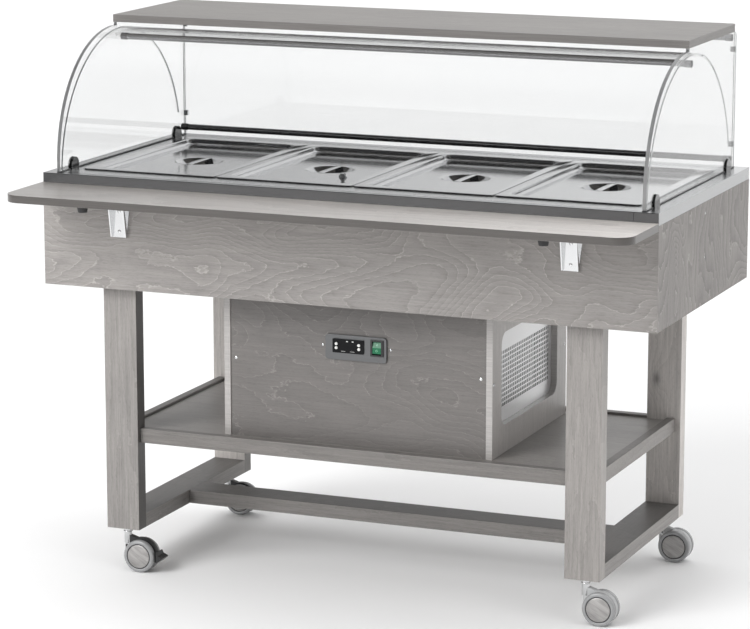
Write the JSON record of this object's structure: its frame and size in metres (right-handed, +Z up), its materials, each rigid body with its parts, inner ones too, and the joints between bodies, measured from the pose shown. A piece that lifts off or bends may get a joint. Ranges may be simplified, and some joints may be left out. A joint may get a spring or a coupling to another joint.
{
  "type": "food service trolley",
  "caption": "Refrigerated buffet trolley: wood frame on casters, stainless top with lidded food pans, clear curved canopy with revolving cover, folding tray shelf and machine box.",
  "frame": {"origin": "middle of the bounding box's footprint, on the floor", "axes": "+X to the right along the length, +Y from the tray shelf's side to the back, +Z up"},
  "size_m": [1.436, 0.869, 1.237],
  "materials": {
    "veneer": "grey-stained veneer, satin",
    "frame_wood": "grey-stained solid wood, satin",
    "shelf_wood": "grey-stained board, satin",
    "roof_wood": "grey-stained veneer, satin",
    "tray_wood": "grey-stained veneer with a darker edge, satin",
    "perforated_sheet": "satin light grey",
    "painted_steel": "semi-gloss black",
    "condenser_fins": "mill finish",
    "fan_plastic": "matte black",
    "fan_metal": "satin",
    "bezel_steel": "brushed",
    "black_plastic": "satin black",
    "white_buttons": "satin white",
    "green_lens": "translucent green",
    "top_steel": "brushed",
    "pan_steel": "satin",
    "lid_steel": "polished",
    "clear_sheet": "clear, polished",
    "chrome": "polished",
    "bumper_rubber": "matte black",
    "braked_fork": "black plastic hood, chrome neck",
    "plain_fork": "light grey plastic hood, chrome neck",
    "wheel_grey": "light grey tread, grey disc"
  },
  "bodies": {
    "cabinet": {"legs": "frame_wood", "apron_ledgers": "frame_wood", "bottom_rails": "frame_wood", "center_stretcher": "frame_wood", "long_aprons": "veneer", "end_aprons": "veneer", "shelf_rails": "frame_wood", "shelf_panel": "shelf_wood", "box_front_panel": "veneer", "box_side_panels": "veneer", "box_back_panel": "veneer", "vent_grilles": "perforated_sheet", "compressor": "painted_steel", "condenser": "condenser_fins", "fan_shroud": "fan_plastic", "control_bezel": "bezel_steel", "controller": "black_plastic", "rocker_housing": "black_plastic", "steel_top": "top_steel", "support_bars": "top_steel", "left_side_glass": "clear_sheet", "right_side_glass": "clear_sheet", "back_glass": "clear_sheet", "canopy_tubes": "chrome", "tube_end_caps": "black_plastic", "glass_clamps": "chrome", "glass_clips": "clear_sheet", "roof_panel": "roof_wood", "bracket_bases": "chrome", "caster_sleeves": "chrome", "screws": "chrome", "cable_gland": "black_plastic"},
    "cover": {"front_cover": "clear_sheet"},
    "tray": {"tray_shelf": "tray_wood", "bracket_arms": "chrome", "tray_bumpers": "bumper_rubber"},
    "fan": {"fan_blades": "fan_metal"},
    "rocker": {"rocker_switch": "green_lens"},
    "key_up": {"button_up": "white_buttons"},
    "key_down": {"button_down": "white_buttons"},
    "key_set": {"button_set": "white_buttons"},
    "key_standby": {"button_standby": "white_buttons"},
    "pan_1": {"pan_1": "pan_steel"},
    "lid_1": {"lid_1": "lid_steel"},
    "pan_2": {"pan_2": "pan_steel"},
    "lid_2": {"lid_2": "lid_steel"},
    "pan_3": {"pan_3": "pan_steel"},
    "lid_3": {"lid_3": "lid_steel"},
    "pan_4": {"pan_4": "pan_steel"},
    "lid_4": {"lid_4": "lid_steel"},
    "swivel_fl": {"caster_fl_fork": "braked_fork"},
    "wheels_fl": {"caster_fl_wheels": "wheel_grey"},
    "swivel_fr": {"caster_fr_fork": "plain_fork"},
    "wheels_fr": {"caster_fr_wheels": "wheel_grey"},
    "swivel_bl": {"caster_bl_fork": "braked_fork"},
    "wheels_bl": {"caster_bl_wheels": "wheel_grey"},
    "swivel_br": {"caster_br_fork": "plain_fork"},
    "wheels_br": {"caster_br_wheels": "wheel_grey"},
    "pedal_fl": {"brake_pedal_fl": "black_plastic"},
    "pedal_bl": {"brake_pedal_bl": "black_plastic"}
  },
  "joints": [
    {"name": "cover_hinge", "type": "hinge", "parent": "cabinet", "child": "cover", "pos_m": [0, 0.0795, 0.902], "axis": [-1, 0, 0], "range_deg": [0, 60]},
    {"name": "tray_hinge", "type": "hinge", "parent": "cabinet", "child": "tray", "pos_m": [0, -0.254, 0.862], "axis": [1, 0, 0], "range_deg": [0, 94]},
    {"name": "pan_1_lift", "type": "slide", "parent": "cabinet", "child": "pan_1", "axis": [0, 0, 1], "range_m": [0, 0.05]},
    {"name": "lid_1_lift", "type": "slide", "parent": "pan_1", "child": "lid_1", "axis": [0, 0, 1], "range_m": [0, 0.04]},
    {"name": "pan_2_lift", "type": "slide", "parent": "cabinet", "child": "pan_2", "axis": [0, 0, 1], "range_m": [0, 0.05]},
    {"name": "lid_2_lift", "type": "slide", "parent": "pan_2", "child": "lid_2", "axis": [0, 0, 1], "range_m": [0, 0.04]},
    {"name": "pan_3_lift", "type": "slide", "parent": "cabinet", "child": "pan_3", "axis": [0, 0, 1], "range_m": [0, 0.05]},
    {"name": "lid_3_lift", "type": "slide", "parent": "pan_3", "child": "lid_3", "axis": [0, 0, 1], "range_m": [0, 0.04]},
    {"name": "pan_4_lift", "type": "slide", "parent": "cabinet", "child": "pan_4", "axis": [0, 0, 1], "range_m": [0, 0.05]},
    {"name": "lid_4_lift", "type": "slide", "parent": "pan_4", "child": "lid_4", "axis": [0, 0, 1], "range_m": [0, 0.04]},
    {"name": "key_up_press", "type": "slide", "parent": "cabinet", "child": "key_up", "axis": [0, 1, 0], "range_m": [0, 0.0008], "stiffness_N_per_m": 400},
    {"name": "key_down_press", "type": "slide", "parent": "cabinet", "child": "key_down", "axis": [0, 1, 0], "range_m": [0, 0.0008], "stiffness_N_per_m": 400},
    {"name": "key_set_press", "type": "slide", "parent": "cabinet", "child": "key_set", "axis": [0, 1, 0], "range_m": [0, 0.0008], "stiffness_N_per_m": 400},
    {"name": "key_standby_press", "type": "slide", "parent": "cabinet", "child": "key_standby", "axis": [0, 1, 0], "range_m": [0, 0.0008], "stiffness_N_per_m": 400},
    {"name": "rocker_tilt", "type": "hinge", "parent": "cabinet", "child": "rocker", "pos_m": [0.0505, -0.1445, 0.5545], "axis": [1, 0, 0], "range_deg": [0, 20]},
    {"name": "fan_spin", "type": "hinge", "parent": "cabinet", "child": "fan", "pos_m": [0.205, 0.0895, 0.482], "axis": [1, 0, 0], "continuous": true},
    {"name": "swivel_fl", "type": "hinge", "parent": "cabinet", "child": "swivel_fl", "pos_m": [-0.545, -0.1905, 0.08], "axis": [0, 0, 1], "continuous": true},
    {"name": "wheels_fl_roll", "type": "hinge", "parent": "swivel_fl", "child": "wheels_fl", "pos_m": [-0.51, -0.1905, 0.0375], "axis": [0, 1, 0], "continuous": true},
    {"name": "swivel_fr", "type": "hinge", "parent": "cabinet", "child": "swivel_fr", "pos_m": [0.553, -0.1905, 0.08], "axis": [0, 0, 1], "continuous": true},
    {"name": "wheels_fr_roll", "type": "hinge", "parent": "swivel_fr", "child": "wheels_fr", "pos_m": [0.588, -0.1905, 0.0375], "axis": [0, 1, 0], "continuous": true},
    {"name": "swivel_bl", "type": "hinge", "parent": "cabinet", "child": "swivel_bl", "pos_m": [-0.545, 0.3515, 0.08], "axis": [0, 0, 1], "continuous": true},
    {"name": "wheels_bl_roll", "type": "hinge", "parent": "swivel_bl", "child": "wheels_bl", "pos_m": [-0.51, 0.3515, 0.0375], "axis": [0, 1, 0], "continuous": true},
    {"name": "swivel_br", "type": "hinge", "parent": "cabinet", "child": "swivel_br", "pos_m": [0.553, 0.3515, 0.08], "axis": [0, 0, 1], "continuous": true},
    {"name": "wheels_br_roll", "type": "hinge", "parent": "swivel_br", "child": "wheels_br", "pos_m": [0.588, 0.3515, 0.0375], "axis": [0, 1, 0], "continuous": true},
    {"name": "pedal_fl", "type": "hinge", "parent": "swivel_fl", "child": "pedal_fl", "pos_m": [-0.482, -0.1905, 0.0375], "axis": [0, 1, 0], "range_deg": [0, 12]},
    {"name": "pedal_bl", "type": "hinge", "parent": "swivel_bl", "child": "pedal_bl", "pos_m": [-0.482, 0.3515, 0.0375], "axis": [0, 1, 0], "range_deg": [0, 12]}
  ]
}
